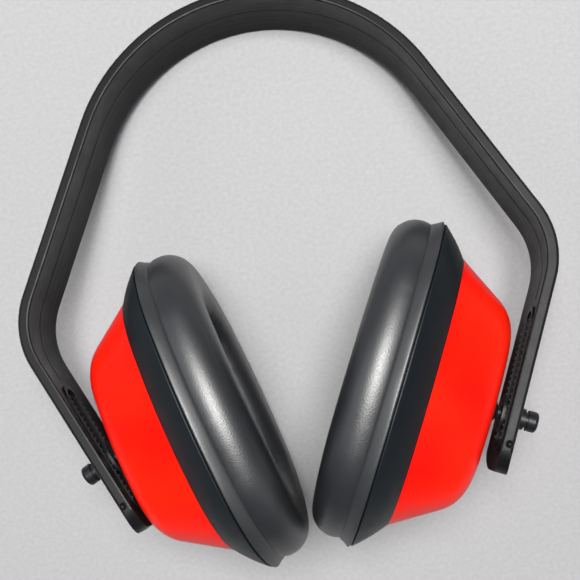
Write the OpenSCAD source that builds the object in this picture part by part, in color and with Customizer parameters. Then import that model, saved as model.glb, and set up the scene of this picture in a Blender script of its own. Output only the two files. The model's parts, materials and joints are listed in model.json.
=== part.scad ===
// Earmuff hearing protector, lying on its side with the ear cups closed on each other.
// +Z is up from the surface it lies on, +Y runs from the cups to the crown of the headband,
// and +X runs towards the right cup.  All sizes are in millimetres.

/* [Headband] */
// Width of the headband strip
band_w = 25; // [22:1:28]
// Thickness of the strip along its edges
band_t = 3.6; // [3.2:0.2:4]
// Rise of the outer face in the middle of the strip
band_crown = 1.4; // [0.8:0.2:1.8]
// Depth of the hollow inner face in the middle of the strip
band_hollow = 1.2; // [0.8:0.2:1.4]
// Rounding of the strip's edges
band_edge_r = 0.8; // [0.4:0.1:1.2]
// Inner radius of the arch over the head
arch_r = 60.3; // [58:0.1:63]
// Turn of the arch from the crown to each straight side, in degrees
arch_turn = 64.5; // [63:0.5:66]
// Length of each straight side
side_l = 59.5; // [58:0.5:64]
// Inner radius of each lower corner
corner_r = 24; // [20:1:28]
// Turn of each lower corner, in degrees
corner_turn = 51; // [50:0.5:51.5]
// Length of each arm below its corner
arm_l = 62; // [61:1:66]
// Rounding of the two corners at the end of each arm
arm_end_r = 8; // [4:1:10]

/* [Height slot] */
// Width of the slot in each arm
slot_w = 7; // [6.6:0.1:7.4]
// Distance from the start of the arm to the upper end of the slot
slot_start = 10; // [8:1:14]
// Distance from the start of the arm to the lower end of the slot
slot_end = 55; // [54:0.5:57]
// Width of the raised rim round the slot
rim_w = 1.6; // [1.2:0.1:2]
// Spacing of the click ridges along the slot
ridge_pitch = 2; // [1.5:0.5:3]

/* [Pivot] */
// Distance from the start of the left arm to the left cup's pivot
left_pivot_s = 37.5; // [36:0.5:38.5]
// Distance from the start of the right arm to the right cup's pivot
right_pivot_s = 44; // [43:0.5:45]
// Radius of the pivot ball
ball_r = 4.2; // [4:0.1:4.4]
// Distance of the ball's centre inside the arm's inner edge
ball_in = 5.5; // [5.5:0.1:5.7]
// Radius of the stud where it passes the arm
stud_r = 1.8; // [1.6:0.1:2]
// Radius of the knob's head outside the arm
knob_r = 3.4; // [3:0.1:4]
// Length of the knob outside the arm
knob_l = 5.8; // [5.4:0.1:7]

/* [Ear cup] */
// Radius of the cup's round ends
cup_end_r = 37.4; // [37:0.1:37.6]
// How much longer than round the cup is: its rim is 14 of these longer and 2 wider than its ends
cup_stretch = 2; // [1.8:0.1:2.2]
// Gap between the arm's inner edge and the outer face of the shell
shell_gap = 3.5; // [3.5:0.1:3.7]
// Wall thickness of the shell
shell_wall = 2.2; // [1.8:0.1:2.6]
// Depth of the coloured shell
shell_h = 21.8; // [20:0.1:23]
// Depth of the black rim ring
ring_h = 8.8; // [8.4:0.1:8.8]
// Lean of the cup's sides from its axis, in degrees
side_lean = 33; // [32:1:34]
// Width of the ring cushion
cushion_w = 22; // [20:0.5:23]
// Height of the ring cushion
cushion_h = 13.8; // [13.4:0.1:14]

/* [Pose of the cups] */
// Tilt of the left cup on its ball, lower end towards the arm, in degrees
left_tilt = 9.5; // [9.5:0.5:10]
// Tilt of the right cup on its ball, lower end towards the arm, in degrees
right_tilt = -1; // [-1:0.5:1]

/* [Lying pose] */
// Pitch that brings the crown down to the surface, in degrees
lie_pitch = 12.73; // [0:0.01:15]
// Roll that brings both cups down to the surface, in degrees
lie_roll = 0.19; // [-5:0.01:5]

/* [Hidden] */
$fn = 96;

// Colours
band_black = [0.035, 0.037, 0.042];
rim_black = [0.03, 0.035, 0.045];
shell_red = [0.9, 0.03, 0.01];
vinyl_black = [0.05, 0.052, 0.058];
foam_grey = [0.22, 0.22, 0.23];

// Clearance of a running fit, on the radius
running = 0.05;

// Half sizes of the strip, and the number of steps across its crowned face
band_half = band_w / 2;
crown_steps = 8;

// The straight stretches are this much thinner all round than the bends, and reach this far into them
seam_inset = 0.02;
seam_reach = 0.4;

// Rim of the slot: how far its top lies behind the arm's inner edge, and its ridges above it
rim_back = 0.5;
ridge_rise = 0.4;
ridge_l = 0.7;

// The guide that runs in the slot: its length, its head, and the head's thickness
guide_l = 9;
guide_head_l = 12;
guide_head_t = 0.85;
guide_head_in = 0.9;
guide_side_gap = 0.08;

// The collar that holds the ball, and the boss in the shell that holds the collar
collar_r = 6.6;
collar_back = 3.2;
boss_r = 9.5;
boss_back = 8.6;
face_z = shell_gap - ball_in;

// The cup's oval has four arcs: two round ends and two long sides.  The centre of each side, the
// centre of an end and the oval's middle make a 7-24-25 triangle, and the arcs meet on its long edge.
end_x = 7 * cup_stretch;
side_y = 24 * cup_stretch;
side_r = cup_end_r + 25 * cup_stretch;
cup_w = 2 * (cup_end_r + cup_stretch);
wedge_reach = 4;
wedge_deep = 120;

// The dome of the shell: a flat middle, a gentle arc, a tight shoulder arc and a leaning side
flat_d = 1 - cup_end_r;
dome_r = 45;
dome_turn = 14;
shoulder_r = 14;
dome_mid = [flat_d, face_z + dome_r];
shoulder_mid = dome_mid + (shoulder_r - dome_r) * [-sin(dome_turn), cos(dome_turn)];
side_slope = tan(side_lean);

// Levels along the cup's axis, from the ball's centre towards the head
shell_end_z = face_z + shell_h;
plate_z = shell_end_z + ring_h;
plate_t = 1.5;
cushion_z = plate_z + plate_t + 0.1;
cushion_top_z = cushion_z + cushion_h;
foam_z = boss_back + 0.4;
foam_h = 13;

// Offsets of the shell's outer wall at its end, and of the ring's inner lip
shell_end_d = side_offset(shell_end_z, 0);
lip_d = -5;

// Place of the arch's centre when the object lies on the surface, over the middle of its box
lie_at = [-0.03, 27.73, 26.1];

// Distance inwards from the rim's oval to the leaning side, at a level and an inset into the wall
function side_offset(z, inset) =
  shoulder_mid[0] + (shoulder_r - inset) * cos(side_lean)
  + (z - shoulder_mid[1] + (shoulder_r - inset) * sin(side_lean)) * side_slope;

// Points along an arc, from angle a to angle b
function arc(mid, r, a, b, steps) =
  [for (i = [0:steps]) mid + r * [cos(a + (b - a) * i / steps), sin(a + (b - a) * i / steps)]];

// The dome's curve from its middle to its rim, inset into the wall
function dome_curve(inset, z_end) = concat(
  [[-cup_end_r, face_z + inset]],
  arc(dome_mid, dome_r - inset, -90, dome_turn - 90, 4),
  arc(shoulder_mid, shoulder_r - inset, dome_turn - 84, -side_lean, 8),
  [[side_offset(z_end, inset), z_end]]);

// A list of points in the other direction
function backwards(points) = [for (i = [len(points) - 1:-1:0]) points[i]];

// Lays the object on the surface, on its crown and both cups
module lying() {
  translate(lie_at)
    rotate([-lie_pitch, lie_roll, 0])
      children();
}

// Mirrors the children for the left side
module on_side(side) {
  if (side == "left") {
    mirror([1, 0, 0]) children();
  } else {
    children();
  }
}

// End of the arch: X along the strip, Y outwards
module at_side_start() {
  rotate(-arch_turn) translate([0, arch_r, 0]) children();
}

// Start of the arm: X down the arm, Y outwards
module at_arm_start() {
  at_side_start()
    translate([side_l, -corner_r, 0])
      rotate(-corner_turn)
        translate([0, corner_r, 0])
          children();
}

// Places a piece on the stud's axis: X down the arm, Y outwards, origin level with the inner edge
module on_stud(side) {
  pivot_s = side == "left" ? left_pivot_s : right_pivot_s;
  lying() on_side(side) at_arm_start() translate([pivot_s, 0, 0]) children();
}

// Places a piece in a cup: origin at the ball, X down the cup, Y across it, Z towards the head
module on_cup(side) {
  tilt = side == "left" ? left_tilt : right_tilt;
  on_stud(side)
    translate([0, -ball_in, 0])
      rotate([90, 0, tilt])
        children();
}

// Cross-section of the strip: X outwards, Y across its width, inset all round
module band_section(inset = 0) {
  flank = band_half - band_edge_r;
  edge_r = band_edge_r - inset;
  face = [for (i = [0:crown_steps]) -flank + 2 * flank * i / crown_steps];
  outer = [for (y = face) [band_t - inset + band_crown * (1 - pow(y / band_half, 2)), y]];
  inner = [for (y = face) [inset + band_hollow * (1 - pow(y / band_half, 2)), y]];
  upper_edge = concat(
    arc([band_t - band_edge_r, flank], edge_r, 30, 90, 2),
    arc([band_edge_r, flank], edge_r, 90, 150, 2));
  lower_edge = [for (p = backwards(upper_edge)) [p[0], -p[1]]];
  polygon(concat(outer, upper_edge, backwards(inner), lower_edge));
}

// A bent stretch of the strip that ends pointing along +X, with its centre at the origin
module band_bend(r, turn) {
  rotate(90 - turn)
    rotate_extrude(angle = turn)
      translate([r, 0])
        band_section();
}

// A straight stretch of the strip along +X, a hair thinner than the bends and reaching into them
module band_straight(length, reach) {
  translate([-seam_reach, 0, 0])
    rotate([90, 0, 90])
      linear_extrude(length + seam_reach + reach)
        band_section(seam_inset);
}

// A flat outline in X and Z, drawn from y_low to y_high
module across(y_low, y_high) {
  translate([0, y_high, 0])
    rotate([90, 0, 0])
      linear_extrude(y_high - y_low)
        children();
}

// A slot shape along X, round at both ends
module slot_outline(x_low, x_high, width) {
  for (x = [x_low + width / 2, x_high - width / 2]) translate([x, 0]) circle(d = width);
  translate([x_low + width / 2, -width / 2]) square([x_high - x_low - width, width]);
}

// Outline of the arm with two round corners at its end
module arm_outline() {
  for (y = [-1, 1]) translate([arm_l - arm_end_r, y * (band_half - arm_end_r)]) circle(arm_end_r);
  translate([-1, -band_half]) square([arm_l - arm_end_r + 1, band_w]);
  translate([-1, arm_end_r - band_half]) square([arm_l + 1, band_w - 2 * arm_end_r]);
}

// The rows of click ridges along both sides of the slot
module ridges() {
  ridge_count = floor((slot_end - slot_start - slot_w) / ridge_pitch);
  ridge_top = rim_back - ridge_rise;
  for (i = [0:ridge_count], side = [-1, 1])
    translate([slot_start + slot_w / 2 + i * ridge_pitch, ridge_top + 0.5, side * (slot_w + rim_w) / 2])
      cube([ridge_l, 1, rim_w - 0.5], center = true);
}

// One arm with its slot
module arm() {
  difference() {
    union() {
      intersection() {
        band_straight(arm_l, 0);
        across(-2, band_t + 4) arm_outline();
      }
      across(rim_back, band_t)
        slot_outline(slot_start - rim_w, slot_end + rim_w, slot_w + 2 * rim_w);
      ridges();
    }
    across(-2, band_t + 4) slot_outline(slot_start, slot_end, slot_w);
  }
}

module headband() {
  color(band_black)
    lying() {
      rotate(arch_turn) band_bend(arch_r, 2 * arch_turn);
      for (side = ["left", "right"])
        on_side(side) {
          at_side_start() {
            band_straight(side_l, seam_reach);
            translate([side_l, -corner_r, 0]) band_bend(corner_r, corner_turn);
          }
          at_arm_start() arm();
        }
    }
}

// The guide in the slot, with a bore that the stud turns in
module slot_guide(side) {
  neck_w = slot_w - 2 * guide_side_gap;
  neck_top = band_t + band_crown - 0.1;
  head_w = slot_w + 2 * rim_w - 0.4;
  color(rim_black)
    on_stud(side)
      difference() {
        union() {
          across(-guide_head_in + 0.2, neck_top)
            slot_outline(-guide_l / 2, guide_l / 2, neck_w);
          across(-guide_head_in, guide_head_t - guide_head_in)
            slot_outline(-guide_head_l / 2, guide_head_l / 2, head_w);
        }
        rotate([-90, 0, 0]) cylinder(r = stud_r + running, h = 20, center = true);
      }
}

// The stud: a ball, a neck through the guide and a shank for the knob
module pivot_stud(side) {
  neck_end = band_t + band_crown;
  shank_l = knob_l - 1.6;
  color(band_black)
    on_stud(side)
      union() {
        translate([0, -ball_in, 0]) sphere(ball_r);
        translate([0, -ball_in, 0])
          rotate([-90, 0, 0])
            cylinder(r = stud_r, h = ball_in + neck_end);
        translate([0, neck_end - 0.5, 0])
          rotate([-90, 0, 0])
            cylinder(r = stud_r - 0.4, h = shank_l + 0.5);
      }
}

// The knob on the end of the stud: two flanges with a groove between them, and a blind bore
module stud_knob(side) {
  flange_t = knob_l * 0.28;
  groove_t = knob_l * 0.18;
  head_start = flange_t + groove_t;
  head_round = 1;
  bore_l = knob_l - 1.5;
  color(band_black)
    on_stud(side)
      translate([0, band_t + band_crown + 0.1, 0])
        rotate([-90, 0, 0])
          rotate_extrude()
            polygon(concat(
              [[stud_r - 0.4 + running, 0], [knob_r, 0], [knob_r, flange_t], [knob_r - 0.9, flange_t],
                [knob_r - 0.9, head_start], [knob_r - 0.1, head_start]],
              arc([knob_r - 0.1 - head_round, knob_l - head_round], head_round, 0, 90, 4),
              [[0, knob_l], [0, bore_l], [stud_r - 0.4 + running, bore_l]]));
}

// The collar that grips the ball and sits in the shell's socket
module socket_collar(side) {
  color(rim_black)
    on_cup(side)
      difference() {
        intersection() {
          sphere(collar_r);
          translate([0, 0, face_z]) cylinder(r = collar_r + 1, h = collar_back - face_z);
        }
        sphere(ball_r + running);
      }
}

// Half plan of a wedge that opens along +X from the centre of a round end
module end_wedge() {
  far_x = end_x * (1 + wedge_reach);
  far_y = side_y * wedge_reach;
  polygon([[end_x, 0], [far_x, far_y], [3 * far_x, far_y], [3 * far_x, -far_y], [far_x, -far_y]]);
}

// Plan of a wedge that opens along +Y from the centre of a long side, through both ends' centres
module side_wedge() {
  far_x = end_x * wedge_reach;
  far_y = side_y * (wedge_reach - 1);
  polygon([[0, -side_y], [far_x, far_y], [-far_x, far_y]]);
}

// Revolves a section about a centre and keeps what lies over the children's plan
module revolved_part(centre, r, points) {
  intersection() {
    translate(centre) rotate_extrude() translate([r, 0]) polygon(points);
    translate([0, 0, -wedge_deep / 2]) linear_extrude(wedge_deep) children();
  }
}

// Sweeps a section round the cup's oval; the section's X is the distance outside the rim
module oval_sweep(points) {
  for (turn = [0, 180])
    rotate(turn) {
      revolved_part([end_x, 0, 0], cup_end_r, points) end_wedge();
      revolved_part([0, -side_y, 0], side_r, points) side_wedge();
    }
}

// The oval itself, a distance outside the rim
module oval(d) {
  join_x = end_x * (1 + (cup_end_r + d) / (25 * cup_stretch));
  for (side = [-1, 1]) translate([side * end_x, 0]) circle(cup_end_r + d);
  intersection() {
    translate([0, -side_y]) circle(side_r + d);
    translate([0, side_y]) circle(side_r + d);
    square([2 * join_x, cup_w], center = true);
  }
}

module cup_shell(side) {
  color(shell_red)
    on_cup(side)
      difference() {
        union() {
          oval_sweep(concat(dome_curve(0, shell_end_z), backwards(dome_curve(shell_wall, shell_end_z))));
          translate([0, 0, face_z]) linear_extrude(shell_wall) oval(flat_d - 0.3);
          translate([0, 0, face_z + 1]) cylinder(r = boss_r, h = boss_back - face_z - 1);
        }
        sphere(collar_r + running);
      }
}

// The black ring that carries the cushion, with a tongue inside the shell and a lip at the rim
module rim_ring(side) {
  tongue_z = shell_end_z - 4;
  tongue_gap = 0.15;
  outer_d = shell_end_d + 0.1;
  color(rim_black)
    on_cup(side)
      oval_sweep([
        [outer_d, shell_end_z + running],
        [0, plate_z - 1.4],
        [0.9, plate_z - 1],
        [0.9, plate_z - 0.1],
        [lip_d, plate_z - 0.1],
        [lip_d, plate_z - 1.5],
        [-3.2, plate_z - 1.5],
        [side_offset(shell_end_z, shell_wall) - 1.5, shell_end_z],
        [side_offset(tongue_z, shell_wall) - 1.5, tongue_z],
        [side_offset(tongue_z, shell_wall) - tongue_gap, tongue_z],
        [side_offset(shell_end_z, shell_wall) - tongue_gap, shell_end_z + running]]);
}

// The sound-absorbing foam in the bottom of the cup
module cup_foam(side) {
  color(foam_grey)
    on_cup(side)
      translate([0, 0, foam_z])
        linear_extrude(foam_h)
          oval(side_offset(foam_z, shell_wall) - 1);
}

// The stiff plate under the cushion, with a collar that snaps into the ring
module cushion_plate(side) {
  color(rim_black)
    on_cup(side)
      oval_sweep([
        [0.3, plate_z],
        [0.3, plate_z + plate_t],
        [-cushion_w, plate_z + plate_t],
        [-cushion_w, plate_z],
        [lip_d - 1.4, plate_z],
        [lip_d - 1.4, plate_z - 3],
        [lip_d - 0.15, plate_z - 3],
        [lip_d - 0.15, plate_z]]);
}

// Section of the ring cushion, inset from its outer skin
function cushion_curve(inset) =
  let (outer_r = cushion_h * 0.64, inner_r = cushion_h * 0.59)
  concat(
    arc([1.3 - outer_r, cushion_top_z - outer_r], outer_r - inset, -34, 90, 8),
    arc([inner_r - cushion_w + 0.7, cushion_top_z - inner_r], inner_r - inset, 90, 222, 8));

module cushion_skin(side) {
  skin_t = 0.9;
  color(vinyl_black)
    on_cup(side)
      difference() {
        oval_sweep(cushion_curve(0));
        oval_sweep(cushion_curve(skin_t));
      }
}

module cushion_foam(side) {
  foam_inset = 1;
  color(foam_grey) on_cup(side) oval_sweep(cushion_curve(foam_inset));
}

headband();
slot_guide("left");  // left_slot_guide
pivot_stud("left");  // left_pivot_stud
stud_knob("left");  // left_stud_knob
socket_collar("left");  // left_socket_collar
cup_shell("left");  // left_cup_shell
rim_ring("left");  // left_rim_ring
cup_foam("left");  // left_cup_foam
cushion_plate("left");  // left_cushion_plate
cushion_foam("left");  // left_cushion_foam
cushion_skin("left");  // left_cushion_skin
slot_guide("right");  // right_slot_guide
pivot_stud("right");  // right_pivot_stud
stud_knob("right");  // right_stud_knob
socket_collar("right");  // right_socket_collar
cup_shell("right");  // right_cup_shell
rim_ring("right");  // right_rim_ring
cup_foam("right");  // right_cup_foam
cushion_plate("right");  // right_cushion_plate
cushion_foam("right");  // right_cushion_foam
cushion_skin("right");  // right_cushion_skin
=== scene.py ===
"""An earmuff hearing protector lying on its side, seen from above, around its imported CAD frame.

The hard parts keep their CAD meshes, apart from the rim rings. The rim rings, the foams and the
cushion skins are replaced by finer pieces. Lengths are in millimetres inside a cup's or the band's own
frame, and in metres in the scene.
"""

import json
import math

import bmesh
import bpy
from mathutils import Matrix, Vector, noise


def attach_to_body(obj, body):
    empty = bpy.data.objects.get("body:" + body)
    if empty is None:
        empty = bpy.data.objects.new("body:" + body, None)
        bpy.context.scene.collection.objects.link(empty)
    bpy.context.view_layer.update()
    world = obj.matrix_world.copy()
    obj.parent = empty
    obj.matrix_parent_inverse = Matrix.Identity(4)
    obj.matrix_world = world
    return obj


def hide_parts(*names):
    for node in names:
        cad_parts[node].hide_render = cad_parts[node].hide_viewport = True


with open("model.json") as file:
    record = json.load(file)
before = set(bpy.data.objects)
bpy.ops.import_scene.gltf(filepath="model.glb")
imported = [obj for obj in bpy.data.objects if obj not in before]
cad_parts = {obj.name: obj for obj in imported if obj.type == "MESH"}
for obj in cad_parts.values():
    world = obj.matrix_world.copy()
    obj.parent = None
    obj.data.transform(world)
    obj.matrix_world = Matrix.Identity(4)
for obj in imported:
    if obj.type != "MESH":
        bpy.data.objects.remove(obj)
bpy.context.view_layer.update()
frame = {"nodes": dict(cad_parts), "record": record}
SIDES = ("left", "right")
MM = 0.001
JOINTS = {joint["name"]: joint for joint in frame["record"]["behaviour"]["joints"]}
MOUNTS = {mount["name"]: mount for mount in frame["record"]["mounts"]}


# ---------------------------------------------------------------- camera, floor and lights

CAMERA_AT = Vector((0.0165, 0.0070, 0.3031))
CAMERA_FORWARD = Vector((-0.05634, -0.05951, -0.99664))
CAMERA_UP = Vector((0.17035, 0.98301, -0.06833))
CAMERA_LENS = 50.9
SENSOR_WIDTH = 36.0
FLOOR_SIZE = 20.0


def add_camera():
    """The camera above the lying object, with its up direction a little off the scene's Y axis."""
    data = bpy.data.cameras.new("camera")
    data.sensor_width = SENSOR_WIDTH
    data.lens = CAMERA_LENS
    camera = bpy.data.objects.new("camera", data)
    bpy.context.scene.collection.objects.link(camera)
    back = -CAMERA_FORWARD.normalized()
    right = CAMERA_UP.cross(back).normalized()
    axes = Matrix((right, back.cross(right), back)).transposed().to_4x4()
    camera.matrix_world = Matrix.Translation(CAMERA_AT) @ axes
    bpy.context.scene.camera = camera


def add_area_light(name, at, target, size, watts, colour):
    """A rectangular lamp at a place, turned to its target."""
    data = bpy.data.lights.new(name, "AREA")
    data.shape = "RECTANGLE"
    data.size, data.size_y = size
    data.energy = watts
    data.color = colour
    light = bpy.data.objects.new(name, data)
    bpy.context.scene.collection.objects.link(light)
    light.location = at
    aim = (Vector(target) - Vector(at)).to_track_quat("-Z", "Y")
    light.rotation_euler = aim.to_euler()


def add_stage():
    """A pale floor, three soft area lights and a dim sky."""
    half = FLOOR_SIZE / 2
    mesh = bpy.data.meshes.new("floor")
    corners = [(-half, -half, 0), (half, -half, 0), (half, half, 0), (-half, half, 0)]
    mesh.from_pydata(corners, [], [(0, 1, 2, 3)])
    floor = bpy.data.objects.new("floor", mesh)
    bpy.context.scene.collection.objects.link(floor)
    mesh.materials.append(plain_paper())
    add_area_light("ceiling", (0.05, 0.22, 0.95), (0, -0.01, 0), (0.42, 0.40), 17, (1.0, 0.99, 0.97))
    add_area_light("window", (-1.1, 0.5, 0.9), (0, 0, 0.03), (0.9, 0.7), 2.6, (0.86, 0.93, 1.0))
    add_area_light("bounce", (1.0, -0.7, 0.7), (0, 0, 0.03), (0.8, 0.8), 1.0, (1.0, 0.97, 0.94))
    world = bpy.data.worlds.new("studio")
    world.use_nodes = True
    sky = world.node_tree.nodes["Background"].inputs
    sky["Color"].default_value = (0.80, 0.84, 0.90, 1)
    sky["Strength"].default_value = 0.12
    bpy.context.scene.world = world
    bpy.context.scene.view_settings.view_transform = "Standard"


# ---------------------------------------------------------------- materials


def add_node(tree, kind, values=(), **settings):
    """A shader node with its settings, and the values of its inputs by name."""
    made = tree.nodes.new(kind)
    for key, value in settings.items():
        setattr(made, key, value)
    for key, value in values:
        made.inputs[key].default_value = value
    return made


def noise_texture(tree, scale, detail=3.0, roughness=0.5):
    """Noise in object space, so its scale is in features per metre."""
    place = add_node(tree, "ShaderNodeTexCoord")
    values = (("Scale", scale), ("Detail", detail), ("Roughness", roughness))
    texture = add_node(tree, "ShaderNodeTexNoise", values)
    tree.links.new(place.outputs["Object"], texture.inputs["Vector"])
    return texture.outputs["Fac"]


def cell_texture(tree, scale):
    """Distance to the edge of irregular cells in object space."""
    place = add_node(tree, "ShaderNodeTexCoord")
    values = (("Scale", scale),)
    texture = add_node(tree, "ShaderNodeTexVoronoi", values, feature="DISTANCE_TO_EDGE")
    tree.links.new(place.outputs["Object"], texture.inputs["Vector"])
    return texture.outputs["Distance"]


def blend_colours(tree, factor, dark, light, low=0.3, high=0.7):
    """A colour between dark and light, as factor goes from low to high."""
    ramp = add_node(tree, "ShaderNodeValToRGB")
    ramp.color_ramp.elements[0].position = low
    ramp.color_ramp.elements[1].position = high
    ramp.color_ramp.elements[0].color = (*dark, 1)
    ramp.color_ramp.elements[1].color = (*light, 1)
    tree.links.new(factor, ramp.inputs["Fac"])
    return ramp.outputs["Color"]


def spread(tree, factor, low, high):
    """factor from 0.25 to 0.75, stretched to run from low to high."""
    values = (("From Min", 0.25), ("From Max", 0.75), ("To Min", low), ("To Max", high))
    mapped = add_node(tree, "ShaderNodeMapRange", values)
    tree.links.new(factor, mapped.inputs["Value"])
    return mapped.outputs["Result"]


def raise_by(tree, height, distance, strength, below=None):
    """A bump, on top of the bump below it."""
    bump = add_node(tree, "ShaderNodeBump", (("Distance", distance), ("Strength", strength)))
    tree.links.new(height, bump.inputs["Height"])
    if below is not None:
        tree.links.new(below, bump.inputs["Normal"])
    return bump.outputs["Normal"]


def new_material(name):
    """A material, its node tree and its main shader."""
    material = bpy.data.materials.new(name)
    material.use_nodes = True
    return material, material.node_tree, material.node_tree.nodes["Principled BSDF"]


def moulded_plastic(name, dark, light, rough, texture_strength, shine=0.3):
    """Injection-moulded plastic: faint flow marks, a spark-eroded texture and handling wear."""
    material, tree, shader = new_material(name)
    flow = noise_texture(tree, 22, 2.0)
    wear = noise_texture(tree, 160, 6.0, 0.65)
    spark = noise_texture(tree, 3200, 2.0)
    colour = blend_colours(tree, flow, dark, light)
    tree.links.new(colour, shader.inputs["Base Color"])
    tree.links.new(spread(tree, wear, rough - 0.06, rough + 0.08), shader.inputs["Roughness"])
    ripple = raise_by(tree, flow, 0.0004, 0.25)
    normal = raise_by(tree, spark, 0.00004, texture_strength, ripple)
    tree.links.new(normal, shader.inputs["Normal"])
    shader.inputs["Specular IOR Level"].default_value = shine
    return material


def shell_plastic():
    """Semi-gloss red plastic with a faint orange peel and a little light inside it."""
    material, tree, shader = new_material("shell_red_plastic")
    flow = noise_texture(tree, 28, 2.0)
    peel = noise_texture(tree, 420, 2.0)
    dust = noise_texture(tree, 900, 5.0, 0.7)
    colour = blend_colours(tree, flow, (0.84, 0.003, 0.001), (0.93, 0.014, 0.002))
    tree.links.new(colour, shader.inputs["Base Color"])
    tree.links.new(spread(tree, dust, 0.33, 0.45), shader.inputs["Roughness"])
    soft = raise_by(tree, peel, 0.00006, 0.35)
    tree.links.new(raise_by(tree, dust, 0.00002, 0.3, soft), shader.inputs["Normal"])
    shader.inputs["Subsurface Weight"].default_value = 0.12
    shader.inputs["Subsurface Radius"].default_value = (0.004, 0.0008, 0.0004)
    shader.inputs["Specular IOR Level"].default_value = 0.12
    return material


def vinyl(name, dark, light, rough, grain):
    """Soft vinyl: fine leather grain, tiny creases between the cells and a satin face."""
    material, tree, shader = new_material(name)
    cells = cell_texture(tree, 1300)
    broad = noise_texture(tree, 60, 3.0)
    fine = noise_texture(tree, 2600, 3.0, 0.6)
    tree.links.new(blend_colours(tree, broad, dark, light), shader.inputs["Base Color"])
    tree.links.new(spread(tree, fine, rough - 0.05, rough + 0.07), shader.inputs["Roughness"])
    creases = raise_by(tree, cells, 0.00012, grain)
    rolling = raise_by(tree, broad, 0.0004, 0.1, creases)
    tree.links.new(raise_by(tree, fine, 0.00003, 0.5, rolling), shader.inputs["Normal"])
    shader.inputs["Specular IOR Level"].default_value = 1.0
    return material


def open_foam(name, dark, light):
    """Open-cell foam: painted shade darkens the pores between lighter walls."""
    material, tree, shader = new_material(name)
    pores = cell_texture(tree, 900)
    crumb = noise_texture(tree, 2200, 4.0, 0.7)
    # Painted shade: near black at the cell edges, where the bump below sinks the pores; the walls keep
    # the lighter grey.
    tree.links.new(blend_colours(tree, pores, dark, light, 0.02, 0.35), shader.inputs["Base Color"])
    tree.links.new(spread(tree, crumb, 0.85, 0.98), shader.inputs["Roughness"])
    deep = raise_by(tree, pores, 0.0008, 0.9)
    tree.links.new(raise_by(tree, crumb, 0.0002, 0.7, deep), shader.inputs["Normal"])
    shader.inputs["Specular IOR Level"].default_value = 0.2
    return material


def plain_paper():
    """Pale matt paper for the floor."""
    material, tree, shader = new_material("floor_paper")
    fibre = noise_texture(tree, 700, 4.0)
    colour = blend_colours(tree, fibre, (0.34, 0.34, 0.35), (0.38, 0.38, 0.39))
    tree.links.new(colour, shader.inputs["Base Color"])
    shader.inputs["Roughness"].default_value = 0.9
    return material


BAND_DARK, BAND_LIGHT = (0.003, 0.003, 0.004), (0.006, 0.006, 0.007)
FITTING_DARK, FITTING_LIGHT = (0.005, 0.005, 0.007), (0.010, 0.011, 0.013)
RIM_DARK, RIM_LIGHT = (0.003, 0.005, 0.007), (0.006, 0.009, 0.012)
VINYL_DARK, VINYL_LIGHT = (0.008, 0.009, 0.011), (0.014, 0.015, 0.018)
SEAM_DARK, SEAM_LIGHT = (0.012, 0.013, 0.015), (0.019, 0.020, 0.023)
# The foam's pore colour is painted shade in its hollows; the wall colour is the foam's own dark grey.
FOAM_PORE_PAINTED_SHADE, FOAM_WALL = (0.006, 0.006, 0.007), (0.045, 0.046, 0.050)

MATERIALS = {
    "band": moulded_plastic("band_black_plastic", BAND_DARK, BAND_LIGHT, 0.42, 0.4, 0.2),
    "fitting": moulded_plastic("fitting_black_plastic", FITTING_DARK, FITTING_LIGHT, 0.36, 0.4),
    "shell": shell_plastic(),
    "rim": moulded_plastic("rim_blue_black_plastic", RIM_DARK, RIM_LIGHT, 0.46, 0.5, 0.22),
    "cushion": vinyl("cushion_black_vinyl", VINYL_DARK, VINYL_LIGHT, 0.41, 0.3),
    "foam": open_foam("dark_open_cell_foam", FOAM_PORE_PAINTED_SHADE, FOAM_WALL),
}
SEAM_VINYL = vinyl("seam_grey_vinyl", SEAM_DARK, SEAM_LIGHT, 0.46, 0.2)


def paint_cad_nodes():
    """Gives every CAD node the material of its slot."""
    for row in frame["record"]["subparts"]:
        materials = frame["nodes"][row["node"]].data.materials
        materials.clear()
        materials.append(MATERIALS[row["material_slot"]])


# ---------------------------------------------------------------- the cups' own frames and ovals

# The rim's oval has two round ends and two long sides, which meet where it faces JOIN of a turn
END_X, END_R = 14.0, 37.4
SIDE_Y, SIDE_R = 48.0, 87.4
JOIN = math.acos(0.28)
END_STEPS, SIDE_STEPS = 46, 24


def cup_frame(side):
    """Millimetres in the cup to metres in the row frame: X down the cup, Y across, Z to the head."""
    roll = JOINTS[side + "_roll"]
    out = Vector(MOUNTS[side + "_ear_seal"]["axis"]).normalized()
    down = Vector(roll["axis"])
    down = (down - out * down.dot(out)).normalized()
    axes = Matrix((down, out.cross(down), out)).transposed().to_4x4()
    return Matrix.Translation(Vector(roll["pos_m"])) @ axes @ Matrix.Scale(MM, 4)


CUPS = {side: cup_frame(side) for side in SIDES}


def levels(side, node):
    """(lowest, highest) point of a CAD node along its cup's axis, in millimetres from the ball."""
    to_cup = CUPS[side].inverted()
    shape = frame["nodes"][side + "_" + node]
    heights = [(to_cup @ (shape.matrix_world @ v.co)).z for v in shape.data.vertices]
    return min(heights), max(heights)


def rim_turns():
    """Directions that the rim faces, evenly spaced along each of its four arcs."""
    turns = []
    for start in (0.0, math.pi):
        for i in range(END_STEPS):
            turns.append(start - JOIN + 2 * JOIN * i / END_STEPS)
        for i in range(SIDE_STEPS):
            turns.append(start + JOIN + (math.pi - 2 * JOIN) * i / SIDE_STEPS)
    return turns


def rim_point(turn, outward, z):
    """The point of the cup an amount outside the rim's oval, where the rim faces that way."""
    c, s = math.cos(turn), math.sin(turn)
    if abs(c) >= math.cos(JOIN) - 1e-9:
        reach = END_R + outward
        return Vector((math.copysign(END_X, c) + reach * c, reach * s, z))
    reach = SIDE_R + outward
    return Vector((reach * c, reach * s - math.copysign(SIDE_Y, s), z))


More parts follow.
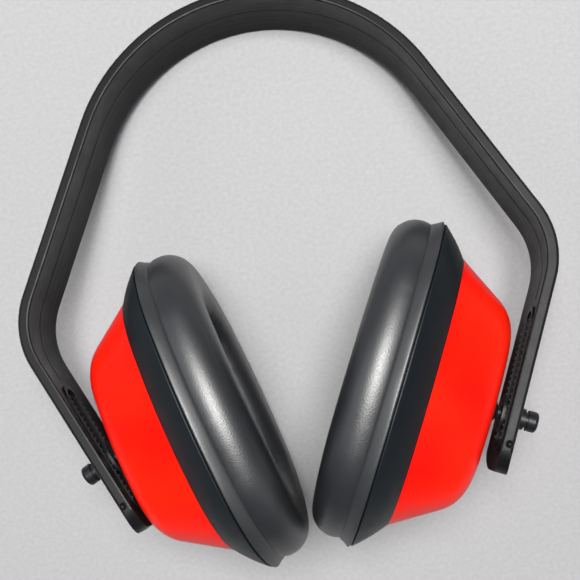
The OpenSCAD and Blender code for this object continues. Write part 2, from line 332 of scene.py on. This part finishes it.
def add_mesh(name, points, faces, place, material):
    """A smooth mesh object, placed by a matrix that its vertices take on."""
    mesh = bpy.data.meshes.new(name)
    mesh.from_pydata([place @ Vector(p) for p in points], [], faces)
    mesh.polygons.foreach_set("use_smooth", [True] * len(mesh.polygons))
    mesh.materials.append(material)
    mesh.validate()
    piece = bpy.data.objects.new(name, mesh)
    bpy.context.scene.collection.objects.link(piece)
    shape = bmesh.new()
    shape.from_mesh(mesh)
    bmesh.ops.recalc_face_normals(shape, faces=shape.faces)
    shape.to_mesh(mesh)
    shape.free()
    return piece


def sweep_rim(name, section, place, material, closed=True):
    """A ring round the cup. section gives (outward, z) points for each direction the rim faces."""
    turns = rim_turns()
    rows = [[rim_point(turn, *spot) for spot in section(turn)] for turn in turns]
    count = len(rows[0])
    faces = []
    for i in range(len(rows)):
        after = (i + 1) % len(rows)
        for j in range(count if closed else count - 1):
            nxt = (j + 1) % count
            faces.append((i * count + j, i * count + nxt, after * count + nxt, after * count + j))
    if not closed:
        faces.append([i * count for i in range(len(rows))])
        faces.append([i * count + count - 1 for i in reversed(range(len(rows)))])
    return add_mesh(name, [p for row in rows for p in row], faces, place, material)


def arc(mid, r, start, end, steps):
    """Points of an arc, with its ends in degrees."""
    angles = [math.radians(start + (end - start) * i / steps) for i in range(steps + 1)]
    return [(mid[0] + r * math.cos(a), mid[1] + r * math.sin(a)) for a in angles]


def gaussian(x, mid, width):
    """A bell curve with height 1 at mid."""
    return math.exp(-(((x - mid) / width) ** 2))


def attach(piece, side, node):
    """Hides the CAD node that a cup's piece stands for, if there is one, and gives the piece its body.
    """
    if node:
        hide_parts(side + "_" + node)
    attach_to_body(piece, side + "_cup")


# ---------------------------------------------------------------- ring cushions

CUSHION_W = 21.3
OUTER_EDGE = 1.3
SKIN_INSET, FILLING_INSET = 0.75, 1.5
LUMP_DEPTH, LUMP_R = 0.25, 40
SWELL_LIMIT = 0.0010
FULL_SIDES, FULL_TOP = 1.3, 0.8
PRESSURE = 4.0
CLOTH_FRAMES = 20

# Creases of the skin. Depths are in millimetres, and the reach is a share of the cushion's height
CREASE_SEEDS = {"left": Vector((3.1, 0.0, 0.0)), "right": Vector((0.0, 7.7, 0.0))}
PUCKER_DEPTH, PUCKER_REACH = 0.20, 0.16
OPENING_CREASE, TOP_END_CREASE = 0.20, 0.45
ROLLING_DEPTH = 0.05
CREST_R, OPENING_STRETCH = 30.0, 1.28


def cushion_section(low, high, inset):
    """The D-shaped section: outer edge at the seam, round crest, inner edge in the ear opening."""
    height = high - low
    outer_r, inner_r = height * 0.64, height * 0.59
    outer = arc((OUTER_EDGE - outer_r, high - outer_r), outer_r - inset, -34, 90, 11)
    inner = arc((inner_r - CUSHION_W, high - inner_r), inner_r - inset, 98, 222, 12)
    return outer + inner


def fuller(section, low, high, turn):
    """The section grown upwards: most along the cup's long sides, least where the cushions meet."""
    share = FULL_SIDES * math.sin(turn) ** 2 + FULL_TOP * max(0.0, -math.cos(turn)) ** 2
    return [(outward, z + share * (z - low) / (high - low)) for outward, z in section]


def swell(piece, pinned):
    """Fills the skin out against its seams with cloth under pressure, no further than a limit."""
    rest = [v.co.copy() for v in piece.data.vertices]
    group = piece.vertex_groups.new(name="seam")
    group.add(pinned, 1.0, "REPLACE")
    modifier = piece.modifiers.new("cloth", "CLOTH")
    cloth = modifier.settings
    cloth.quality = 6
    cloth.mass = 0.3
    cloth.tension_stiffness = 12
    cloth.compression_stiffness = 12
    cloth.bending_stiffness = 0.6
    cloth.use_pressure = True
    cloth.uniform_pressure_force = PRESSURE
    cloth.vertex_group_mass = "seam"
    cloth.effector_weights.gravity = 0
    for step in range(1, CLOTH_FRAMES + 1):
        bpy.context.scene.frame_set(step)
    graph = bpy.context.evaluated_depsgraph_get()
    moved = [v.co.copy() for v in piece.evaluated_get(graph).data.vertices]
    piece.modifiers.remove(modifier)
    piece.vertex_groups.clear()
    for v, old, new in zip(piece.data.vertices, rest, moved):
        shift = new - old
        if shift.length > SWELL_LIMIT:
            shift = shift.normalized() * SWELL_LIMIT
        v.co = old + shift
    bpy.context.scene.frame_set(1)


def refine(piece):
    """Subdivides the mesh once, for good."""
    modifier = piece.modifiers.new("finer", "SUBSURF")
    modifier.levels = 1
    modifier.render_levels = 1
    graph = bpy.context.evaluated_depsgraph_get()
    mesh = bpy.data.meshes.new_from_object(piece.evaluated_get(graph))
    piece.modifiers.clear()
    piece.data = mesh
    mesh.polygons.foreach_set("use_smooth", [True] * len(mesh.polygons))


def crease(piece, side, low, high):
    """Small puckers along both seams, and longer ones at the upper end of the ear opening."""
    to_cup = CUPS[side].inverted()
    mesh = piece.data
    normals = [n.vector.copy() for n in mesh.vertex_normals]
    seed = CREASE_SEEDS[side]
    for v, normal in zip(mesh.vertices, normals):
        p = to_cup @ v.co
        turn = math.atan2(p.y, p.x)
        level = (p.z - low) / (high - low)
        across = math.hypot(p.x / OPENING_STRETCH, p.y) - CREST_R
        place = Vector((30 * math.cos(turn), 30 * math.sin(turn), 0.0)) * 0.55 + seed
        pucker = noise.noise(place * 1.1) + 0.5 * noise.noise(place * 2.7)
        seam = math.exp(-max(level, 0.0) / PUCKER_REACH)
        shift = PUCKER_DEPTH * pucker * seam
        if across < 0:
            top_end = gaussian(abs(turn), math.pi, 0.9)
            lines = noise.noise(Vector((place.x * 1.6, place.y * 1.6, p.z * 0.06)) + seed)
            depth = OPENING_CREASE + TOP_END_CREASE * top_end
            shift += depth * lines * gaussian(level, 0.35, 0.4)
        shift += ROLLING_DEPTH * noise.noise(Vector(p) * 0.07 + seed)
        v.co = v.co + normal * shift * MM


def make_cushion(side):
    low, high = levels(side, "cushion_skin")
    section = cushion_section(low, high, SKIN_INSET)

    def grown(turn):
        return fuller(section, low, high, turn)

    skin = sweep_rim(side + "_cushion", grown, CUPS[side], MATERIALS["cushion"])
    count = len(section)
    edges = (0, 1, count - 2, count - 1)
    pinned = [i for i in range(len(skin.data.vertices)) if i % count in edges]
    swell(skin, pinned)
    refine(skin)
    crease(skin, side, low, high)
    attach(skin, side, "cushion_skin")


def make_cushion_filling(side):
    """The foam ring inside the skin, with a lumpy surface."""
    low, high = levels(side, "cushion_foam")
    section = cushion_section(low, high, FILLING_INSET)[::3]

    def lumpy(turn):
        x, y = LUMP_R * math.cos(turn), LUMP_R * math.sin(turn)
        lifts = [LUMP_DEPTH * noise.noise(Vector((x, y, k))) for k in range(len(section))]
        return [(outward, z + up) for (outward, z), up in zip(section, lifts)]

    filling = sweep_rim(side + "_cushion_filling", lumpy, CUPS[side], MATERIALS["foam"])
    attach(filling, side, "cushion_foam")


def make_seam(side):
    """The skin's welded edge: a strip that rises from the ring to the cushion, proud at both ends."""
    low = levels(side, "rim_ring")[1]
    high = levels(side, "cushion_skin")[0]

    def wavy(turn):
        spot = Vector((30 * math.cos(turn), 30 * math.sin(turn), 2.0 if side == "left" else 9.0))
        reach = 1.5 + 0.1 * noise.noise(spot * 0.5) + 0.5 * abs(math.cos(turn)) ** 6
        lift = 0.12 * noise.noise(spot * 0.23)
        return [(-1.0, low + 0.1), (1.2, low + 0.1), (reach - 0.1, low + 0.45 + lift),
                (reach, low + 0.7 + lift), (reach - 0.1, low + 1.1 + lift), (1.15, high + 0.2),
                (0.75, high + 1.1), (0.35, high + 2.0), (-0.6, high + 2.9), (-1.6, high + 2.0),
                (-1.6, high + 0.2)]

    seam = sweep_rim(side + "_seam_fin", wavy, CUPS[side], SEAM_VINYL)
    refine(seam)
    attach(seam, side, None)


RIM_LIP, RIM_CROWN = 1.25, 0.35
RIM_STEPS = 10
RIM_LEDGE, RIM_LEDGE_H = -5.0, 1.4
SHARP_TURN = math.radians(40)


def make_rim(side):
    """The black ring: a slightly crowned slope from the shell's edge out to the seam."""
    low, high = levels(side, "rim_ring")
    start = levels(side, "cup_shell")[1] + 0.05
    foot = slope_foot(side)
    slope = []
    for i in range(RIM_STEPS + 1):
        share = i / RIM_STEPS
        bulge = 0.7 * RIM_CROWN * math.sin(math.pi * share)
        outward = foot + (RIM_LIP - foot) * share + bulge
        slope.append((outward, start + (high - 0.45 - start) * share - bulge))
    lip = [(RIM_LIP, high - 0.15), (RIM_LIP - 0.2, high)]
    ledge = [(RIM_LEDGE, high), (RIM_LEDGE, high - RIM_LEDGE_H), (-3.2, high - RIM_LEDGE_H)]
    tongue = [(foot - 4.1, start - 0.05), (foot - 6.7, low), (foot - 5.35, low), (foot - 2.85, start)]
    section = slope + lip + ledge + tongue
    ring = sweep_rim(side + "_rim", lambda turn: section, CUPS[side], MATERIALS["rim"])
    sharpen(ring)
    attach(ring, side, "rim_ring")


def sharpen(piece):
    """Keeps the edges crisp where the surface turns sharply."""
    shape = bmesh.new()
    shape.from_mesh(piece.data)
    for edge in shape.edges:
        if len(edge.link_faces) == 2 and edge.calc_face_angle() > SHARP_TURN:
            edge.smooth = False
    shape.to_mesh(piece.data)
    shape.free()


def make_cup_foam(side):
    """The sound-absorbing pad: a soft-edged slab with an open-cell top."""
    low, high = levels(side, "cup_foam")
    to_cup = CUPS[side].inverted()
    shape = frame["nodes"][side + "_cup_foam"]
    edge = max((to_cup @ v.co).x for v in shape.data.vertices) - END_X - END_R
    corner = 2.5
    rim = [(edge, low), (edge, high - corner)]
    rim += arc((edge - corner, high - corner), corner, 20, 90, 4)
    inward = [(edge - corner - 1.6 * k, high) for k in range(1, 14)]
    section = [(edge - 6, low)] + rim + inward

    def pitted(turn):
        spots = []
        for outward, z in section:
            p = rim_point(turn, outward, z)
            pit = 0.5 * noise.noise(p * 0.45) + 0.35 * noise.noise(p * 1.1)
            spots.append((outward, z + (pit if z > high - 1 else 0)))
        return spots

    pad = sweep_rim(side + "_cup_pad", pitted, CUPS[side], MATERIALS["foam"], closed=False)
    attach(pad, side, "cup_foam")


# ---------------------------------------------------------------- moulding marks on the hard pieces

ARCH_R, ARCH_TURN = 60.3, 64.5
SIDE_L, CORNER_R, CORNER_TURN = 59.5, 24.0, 51.0
ARM_L = 62.0
BAND_HOLLOW = 1.2
BAND_HALF = 12.5


def band_frame():
    """Millimetres in the band to metres in the row frame: X to the right arm, Y to the crown."""
    crown = MOUNTS["crown_inside"]
    up = -Vector(crown["axis"]).normalized()
    across = Vector(JOINTS["right_tilt"]["axis"])
    across = (across - up * across.dot(up)).normalized()
    axes = Matrix((up.cross(across), up, across)).transposed().to_4x4()
    middle = Vector(crown["pos_m"]) - up * (ARCH_R + BAND_HOLLOW) * MM
    return Matrix.Translation(middle) @ axes @ Matrix.Scale(MM, 4)


BAND = band_frame()


def strip_point(along, outward):
    """A point of the right half of the strip, a length from the crown along its inner edge."""
    arch_l = ARCH_R * math.radians(ARCH_TURN)
    if along <= arch_l:
        a = along / ARCH_R
        return Vector((math.sin(a), math.cos(a), 0)) * (ARCH_R + outward)
    a = math.radians(ARCH_TURN)
    way, out = Vector((math.cos(a), -math.sin(a), 0)), Vector((math.sin(a), math.cos(a), 0))
    start = out * ARCH_R
    along -= arch_l
    if along <= SIDE_L:
        return start + way * along + out * outward
    along -= SIDE_L
    mid = start + way * SIDE_L - out * CORNER_R
    b = a + min(along / CORNER_R, math.radians(CORNER_TURN))
    out, way = Vector((math.sin(b), math.cos(b), 0)), Vector((math.cos(b), -math.sin(b), 0))
    past = max(0.0, along - CORNER_R * math.radians(CORNER_TURN))
    return mid + out * (CORNER_R + outward) + way * past


CORNER_END = ARCH_R * math.radians(ARCH_TURN) + SIDE_L + CORNER_R * math.radians(CORNER_TURN)


def thread(name, points, r, place, material):
    """A fine ridge along a line of points, six-sided and closed at its ends."""
    around = 6
    spots = []
    for i, p in enumerate(points):
        way = (points[min(i + 1, len(points) - 1)] - points[max(i - 1, 0)]).normalized()
        side = way.cross(Vector((0, 0, 1)))
        side = side.normalized() if side.length > 1e-6 else Vector((1, 0, 0))
        lift = side.cross(way)
        for k in range(around):
            a = math.tau * k / around
            spots.append(p + (side * math.cos(a) + lift * math.sin(a)) * r)
    faces = []
    for i in range(len(points) - 1):
        for k in range(around):
            n = (k + 1) % around
            faces.append((i * around + k, i * around + n, (i + 1) * around + n, (i + 1) * around + k))
    faces.append(list(range(around)))
    faces.append([(len(points) - 1) * around + k for k in reversed(range(around))])
    return add_mesh(name, spots, faces, place, material)


def make_parting_line():
    """The faint line that the mould leaves along the middle of the strip's inner face."""
    reach = CORNER_END + 6
    steps = 110
    half = [strip_point(reach * i / steps, BAND_HOLLOW - 0.02) for i in range(steps + 1)]
    other = [Vector((-p.x, p.y, p.z)) for p in half[:0:-1]]
    line = thread("band_parting_line", other + half, 0.11, BAND, MATERIALS["band"])
    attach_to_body(line, "headband")


def ring_mark(name, at, normal, r, wire, material, body):
    """A small raised ring with a dished middle, as an ejector pin leaves."""
    section = arc((r, 0.0), wire, 0, 180, 5) + [(r - 2 * wire, -0.05), (0.25 * r, -0.02)]
    around = 28
    side = normal.orthogonal().normalized()
    other = normal.cross(side)
    spots = []
    for i in range(around):
        a = math.tau * i / around
        out = side * math.cos(a) + other * math.sin(a)
        spots += [at + (out * x + normal * z) * MM for x, z in section]
    count = len(section)
    faces = []
    for i in range(around):
        nxt = (i + 1) % around
        for j in range(count - 1):
            faces.append((i * count + j, i * count + j + 1, nxt * count + j + 1, nxt * count + j))
    faces.append([i * count + count - 1 for i in range(around)])
    faces.append([i * count for i in reversed(range(around))])
    mark = add_mesh(name, spots, faces, Matrix.Identity(4), material)
    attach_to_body(mark, body)


ARM_MARK_BACK, ARM_MARK_OUT = 9.2, 2.2


def mark_arm(side):
    """An ejector mark on the strip's upper edge, near the end of the arm."""
    flip = -1 if side == "left" else 1
    spot = strip_point(CORNER_END + ARM_L - ARM_MARK_BACK, ARM_MARK_OUT)
    up = BAND.to_3x3().normalized() @ Vector((0, 0, 1))
    up = up if up.z > 0 else -up
    at = BAND @ Vector((flip * spot.x, spot.y, 0)) + up * (BAND_HALF + 0.02) * MM
    ring_mark(side + "_arm_mark", at, up, 1.15, 0.16, MATERIALS["band"], "headband")


RING_MARK_TURN = {"left": 0.30, "right": -0.30}
RING_MARK_SHARE = 0.62


def mark_rim(side):
    """A round mark on the ring's slope, near the lower end of the cup."""
    low, high = levels(side, "cup_shell")[1], levels(side, "rim_ring")[1] - 1.4
    turn = RING_MARK_TURN[side]
    foot, head = rim_point(turn, slope_foot(side), low), rim_point(turn, 0.0, high)
    spot = foot + (head - foot) * RING_MARK_SHARE
    lean = (head - foot).normalized()
    level = Vector((-math.sin(turn), math.cos(turn), 0.0))
    out = level.cross(lean)
    to_row = CUPS[side].to_3x3().normalized()
    place = CUPS[side] @ (spot + out * 0.02)
    ring_mark(side + "_rim_mark", place, (to_row @ out).normalized(), 1.4, 0.18,
              MATERIALS["rim"], side + "_cup")


def slope_foot(side):
    """How far inside the rim's oval the ring's slope starts, at the edge of the shell."""
    to_cup = CUPS[side].inverted()
    high = levels(side, "cup_shell")[1]
    shape = frame["nodes"][side + "_cup_shell"]
    local = [to_cup @ v.co for v in shape.data.vertices]
    return max(p.x for p in local if p.z > high - 0.2) - END_X - END_R


# ---------------------------------------------------------------- the build

add_camera()
add_stage()
paint_cad_nodes()
for cup_side in SIDES:
    make_cushion(cup_side)
    make_cushion_filling(cup_side)
    make_seam(cup_side)
    make_rim(cup_side)
    make_cup_foam(cup_side)
    mark_arm(cup_side)
    mark_rim(cup_side)
make_parting_line()
